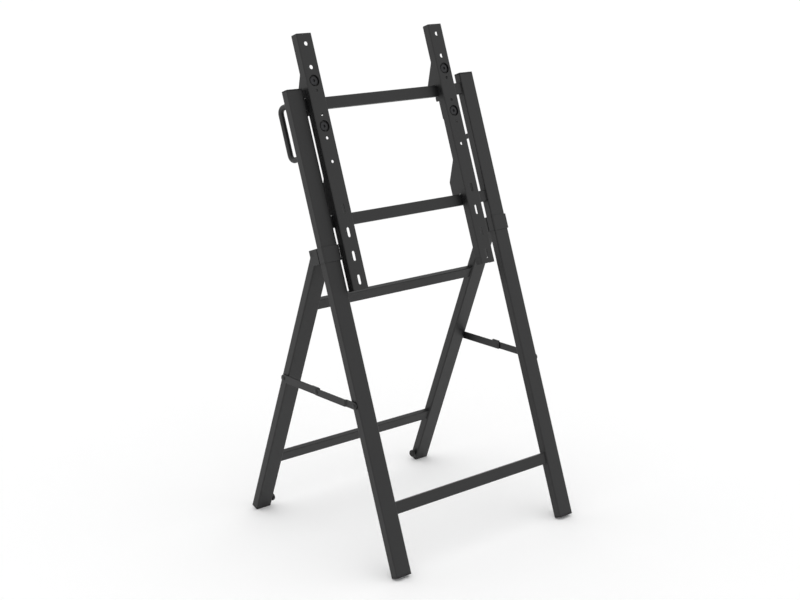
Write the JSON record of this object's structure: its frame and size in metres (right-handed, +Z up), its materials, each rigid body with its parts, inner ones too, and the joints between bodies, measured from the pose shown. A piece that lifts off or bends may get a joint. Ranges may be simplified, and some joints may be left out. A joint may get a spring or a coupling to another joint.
{
  "type": "folding display stand",
  "caption": "Folding A-frame floor stand for a flat display: leaning posts, cross rails, hinged rear legs with over-centre braces, and two sliding slotted mounting arms.",
  "frame": {"origin": "on the floor, at the middle of the footprint", "axes": "+Z up, +X to the right of a person who faces the stand, -Y towards the person who looks at the display"},
  "size_m": [0.5384, 0.5136, 1.0816],
  "materials": {
    "powder_coat": "matte black powder coat, fine texture",
    "black_zinc": "black-passivated zinc plate, satin",
    "moulded_plastic": "black moulded polyethylene, matte",
    "rubber": "black rubber, matte"
  },
  "bodies": {
    "front_frame": {"left_post": "powder_coat", "left_post_cap": "moulded_plastic", "left_post_foot": "moulded_plastic", "left_collar": "powder_coat", "left_clevis": "powder_coat", "left_pivot_pin": "black_zinc", "left_handle": "powder_coat", "right_post": "powder_coat", "right_post_cap": "moulded_plastic", "right_post_foot": "moulded_plastic", "right_collar": "powder_coat", "right_clevis": "powder_coat", "right_pivot_pin": "black_zinc", "right_handle": "powder_coat", "top_rail": "powder_coat", "middle_rail": "powder_coat", "bottom_rail": "powder_coat"},
    "rear_frame": {"left_leg": "powder_coat", "left_leg_foot": "moulded_plastic", "left_pivot_bush": "moulded_plastic", "left_leg_bumper": "rubber", "left_bumper_screw": "black_zinc", "left_leg_rivet": "powder_coat", "right_leg": "powder_coat", "right_leg_foot": "moulded_plastic", "right_pivot_bush": "moulded_plastic", "right_leg_bumper": "rubber", "right_bumper_screw": "black_zinc", "right_leg_rivet": "powder_coat", "rear_top_bar": "powder_coat", "rear_bottom_bar": "powder_coat"},
    "left_rear_brace": {"left_rear_link": "powder_coat", "left_mid_rivet": "powder_coat"},
    "left_front_brace": {"left_front_link": "powder_coat", "left_post_rivet": "powder_coat"},
    "right_rear_brace": {"right_rear_link": "powder_coat", "right_mid_rivet": "powder_coat"},
    "right_front_brace": {"right_front_link": "powder_coat", "right_post_rivet": "powder_coat"},
    "left_arm_set": {"left_arm": "powder_coat", "left_upper_clamp_screw": "black_zinc", "left_lower_clamp_screw": "black_zinc", "left_clamp_bar": "powder_coat"},
    "right_arm_set": {"right_arm": "powder_coat", "right_upper_clamp_screw": "black_zinc", "right_lower_clamp_screw": "black_zinc", "right_clamp_bar": "powder_coat"}
  },
  "joints": [
    {"name": "fold", "type": "hinge", "parent": "front_frame", "child": "rear_frame", "pos_m": [0, 0.0075, 0.64042], "axis": [-1, 0, 0], "range_deg": [0, 40.44]},
    {"name": "left_rear_link_hinge", "type": "hinge", "parent": "rear_frame", "child": "left_rear_brace", "pos_m": [-0.263, 0.11859, 0.3455], "axis": [-1, 0, 0], "range_deg": [0, 58.72]},
    {"name": "left_front_link_hinge", "type": "hinge", "parent": "left_rear_brace", "child": "left_front_brace", "pos_m": [-0.265, -0.00045, 0.3455], "axis": [1, 0, 0], "range_deg": [0, 168.9]},
    {"name": "right_rear_link_hinge", "type": "hinge", "parent": "rear_frame", "child": "right_rear_brace", "pos_m": [0.263, 0.11859, 0.3455], "axis": [-1, 0, 0], "range_deg": [0, 58.72]},
    {"name": "right_front_link_hinge", "type": "hinge", "parent": "right_rear_brace", "child": "right_front_brace", "pos_m": [0.265, -0.00045, 0.3455], "axis": [1, 0, 0], "range_deg": [0, 168.9]},
    {"name": "left_arm_slide", "type": "slide", "parent": "front_frame", "child": "left_arm_set", "axis": [-1, 0, 0], "range_m": [-0.174, 0.002]},
    {"name": "right_arm_slide", "type": "slide", "parent": "front_frame", "child": "right_arm_set", "axis": [1, 0, 0], "range_m": [-0.143, 0.032]}
  ],
  "couplings": [
    {"joint": "left_rear_link_hinge", "follows": "fold", "ratio": 1.4396},
    {"joint": "left_front_link_hinge", "follows": "fold", "ratio": 4.164},
    {"joint": "right_rear_link_hinge", "follows": "fold", "ratio": 1.4396},
    {"joint": "right_front_link_hinge", "follows": "fold", "ratio": 4.164}
  ]
}
